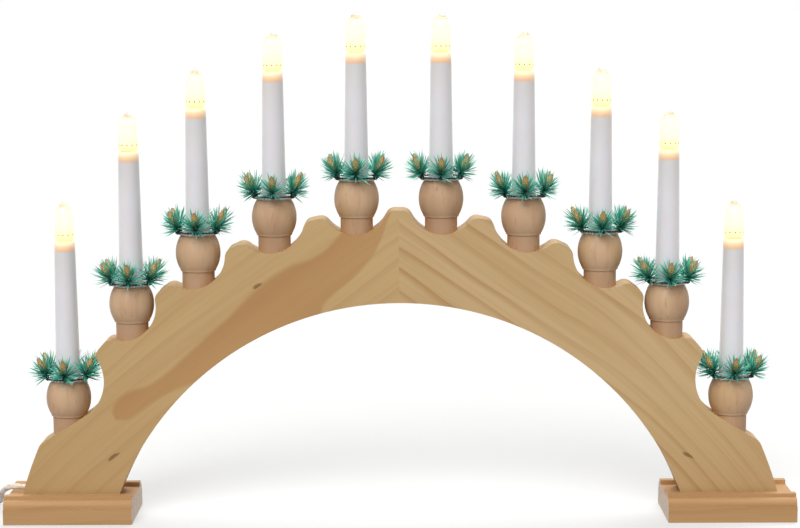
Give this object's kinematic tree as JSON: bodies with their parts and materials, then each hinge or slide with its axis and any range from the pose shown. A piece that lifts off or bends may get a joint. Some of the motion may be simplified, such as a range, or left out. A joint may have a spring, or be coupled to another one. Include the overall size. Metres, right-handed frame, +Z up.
{
  "type": "candle arch",
  "caption": "Wooden candle arch: a scalloped two-board bow on moulded feet, with turned cups, candle tubes, screw-in lamps, fir wreaths and a coiled mains cord.",
  "frame": {"origin": "on the table under the middle of the arch", "axes": "+X along the arch to the viewer's right, +Y away from the viewer, +Z up"},
  "size_m": [0.677, 0.0643, 0.3443],
  "materials": {
    "pine": "satin",
    "foot_wood": "satin",
    "beech": "satin",
    "candle_white": "satin, slightly translucent",
    "lamp_glass": "clear glass",
    "lamp_cap": "satin",
    "clear_ring": "translucent",
    "dark_wire": "matte",
    "fir_needles": "matte",
    "fir_cones": "satin gold",
    "wire_white": "matte",
    "cord_clear": "translucent",
    "plug_white": "satin",
    "plug_pins": "nickel plated"
  },
  "bodies": {
    "arch": {"arch_left_board": "pine", "arch_right_board": "pine", "left_foot": "foot_wood", "right_foot": "foot_wood", "wiring": "wire_white", "candle_cups": "beech", "candle_tubes": "candle_white", "drip_rings": "clear_ring", "wreath_wires": "dark_wire", "wreath_sprigs": "fir_needles", "wreath_cones": "fir_cones", "cord": "cord_clear", "cord_coil": "cord_clear", "plug": "plug_white", "plug_pins": "plug_pins"},
    "lamp_01_cap": {"lamp_base_01": "lamp_cap"},
    "lamp_01_bulb": {"lamp_glass_01": "lamp_glass"},
    "lamp_02_cap": {"lamp_base_02": "lamp_cap"},
    "lamp_02_bulb": {"lamp_glass_02": "lamp_glass"},
    "lamp_03_cap": {"lamp_base_03": "lamp_cap"},
    "lamp_03_bulb": {"lamp_glass_03": "lamp_glass"},
    "lamp_04_cap": {"lamp_base_04": "lamp_cap"},
    "lamp_04_bulb": {"lamp_glass_04": "lamp_glass"},
    "lamp_05_cap": {"lamp_base_05": "lamp_cap"},
    "lamp_05_bulb": {"lamp_glass_05": "lamp_glass"},
    "lamp_06_cap": {"lamp_base_06": "lamp_cap"},
    "lamp_06_bulb": {"lamp_glass_06": "lamp_glass"},
    "lamp_07_cap": {"lamp_base_07": "lamp_cap"},
    "lamp_07_bulb": {"lamp_glass_07": "lamp_glass"},
    "lamp_08_cap": {"lamp_base_08": "lamp_cap"},
    "lamp_08_bulb": {"lamp_glass_08": "lamp_glass"},
    "lamp_09_cap": {"lamp_base_09": "lamp_cap"},
    "lamp_09_bulb": {"lamp_glass_09": "lamp_glass"},
    "lamp_10_cap": {"lamp_base_10": "lamp_cap"},
    "lamp_10_bulb": {"lamp_glass_10": "lamp_glass"}
  },
  "joints": [
    {"name": "lamp_01_lift", "type": "slide", "parent": "arch", "child": "lamp_01_cap", "axis": [0, 0, 1], "range_m": [0, 0.00634]},
    {"name": "lamp_01_turn", "type": "hinge", "parent": "lamp_01_cap", "child": "lamp_01_bulb", "pos_m": [-0.22759, 0, 0.19158], "axis": [0, 0, 1], "range_deg": [0, 1260]},
    {"name": "lamp_02_lift", "type": "slide", "parent": "arch", "child": "lamp_02_cap", "axis": [0, 0, 1], "range_m": [0, 0.00634]},
    {"name": "lamp_02_turn", "type": "hinge", "parent": "lamp_02_cap", "child": "lamp_02_bulb", "pos_m": [-0.18276, 0, 0.25231], "axis": [0, 0, 1], "range_deg": [0, 1260]},
    {"name": "lamp_03_lift", "type": "slide", "parent": "arch", "child": "lamp_03_cap", "axis": [0, 0, 1], "range_m": [0, 0.00634]},
    {"name": "lamp_03_turn", "type": "hinge", "parent": "lamp_03_cap", "child": "lamp_03_bulb", "pos_m": [-0.13678, 0, 0.28142], "axis": [0, 0, 1], "range_deg": [0, 1260]},
    {"name": "lamp_04_lift", "type": "slide", "parent": "arch", "child": "lamp_04_cap", "axis": [0, 0, 1], "range_m": [0, 0.00634]},
    {"name": "lamp_04_turn", "type": "hinge", "parent": "lamp_04_cap", "child": "lamp_04_bulb", "pos_m": [-0.08462, 0, 0.30558], "axis": [0, 0, 1], "range_deg": [0, 1260]},
    {"name": "lamp_05_lift", "type": "slide", "parent": "arch", "child": "lamp_05_cap", "axis": [0, 0, 1], "range_m": [0, 0.00634]},
    {"name": "lamp_05_turn", "type": "hinge", "parent": "lamp_05_cap", "child": "lamp_05_bulb", "pos_m": [-0.02864, 0, 0.31794], "axis": [0, 0, 1], "range_deg": [0, 1260]},
    {"name": "lamp_06_lift", "type": "slide", "parent": "arch", "child": "lamp_06_cap", "axis": [0, 0, 1], "range_m": [0, 0.00634]},
    {"name": "lamp_06_turn", "type": "hinge", "parent": "lamp_06_cap", "child": "lamp_06_bulb", "pos_m": [0.02864, 0, 0.31794], "axis": [0, 0, 1], "range_deg": [0, 1260]},
    {"name": "lamp_07_lift", "type": "slide", "parent": "arch", "child": "lamp_07_cap", "axis": [0, 0, 1], "range_m": [0, 0.00634]},
    {"name": "lamp_07_turn", "type": "hinge", "parent": "lamp_07_cap", "child": "lamp_07_bulb", "pos_m": [0.08462, 0, 0.30558], "axis": [0, 0, 1], "range_deg": [0, 1260]},
    {"name": "lamp_08_lift", "type": "slide", "parent": "arch", "child": "lamp_08_cap", "axis": [0, 0, 1], "range_m": [0, 0.00634]},
    {"name": "lamp_08_turn", "type": "hinge", "parent": "lamp_08_cap", "child": "lamp_08_bulb", "pos_m": [0.13678, 0, 0.28142], "axis": [0, 0, 1], "range_deg": [0, 1260]},
    {"name": "lamp_09_lift", "type": "slide", "parent": "arch", "child": "lamp_09_cap", "axis": [0, 0, 1], "range_m": [0, 0.00634]},
    {"name": "lamp_09_turn", "type": "hinge", "parent": "lamp_09_cap", "child": "lamp_09_bulb", "pos_m": [0.18276, 0, 0.25231], "axis": [0, 0, 1], "range_deg": [0, 1260]},
    {"name": "lamp_10_lift", "type": "slide", "parent": "arch", "child": "lamp_10_cap", "axis": [0, 0, 1], "range_m": [0, 0.00634]},
    {"name": "lamp_10_turn", "type": "hinge", "parent": "lamp_10_cap", "child": "lamp_10_bulb", "pos_m": [0.22759, 0, 0.19158], "axis": [0, 0, 1], "range_deg": [0, 1260]}
  ],
  "couplings": [
    {"joint": "lamp_01_lift", "follows": "lamp_01_turn", "m_per_rad": 0.00028807},
    {"joint": "lamp_02_lift", "follows": "lamp_02_turn", "m_per_rad": 0.00028807},
    {"joint": "lamp_03_lift", "follows": "lamp_03_turn", "m_per_rad": 0.00028807},
    {"joint": "lamp_04_lift", "follows": "lamp_04_turn", "m_per_rad": 0.00028807},
    {"joint": "lamp_05_lift", "follows": "lamp_05_turn", "m_per_rad": 0.00028807},
    {"joint": "lamp_06_lift", "follows": "lamp_06_turn", "m_per_rad": 0.00028807},
    {"joint": "lamp_07_lift", "follows": "lamp_07_turn", "m_per_rad": 0.00028807},
    {"joint": "lamp_08_lift", "follows": "lamp_08_turn", "m_per_rad": 0.00028807},
    {"joint": "lamp_09_lift", "follows": "lamp_09_turn", "m_per_rad": 0.00028807},
    {"joint": "lamp_10_lift", "follows": "lamp_10_turn", "m_per_rad": 0.00028807}
  ]
}
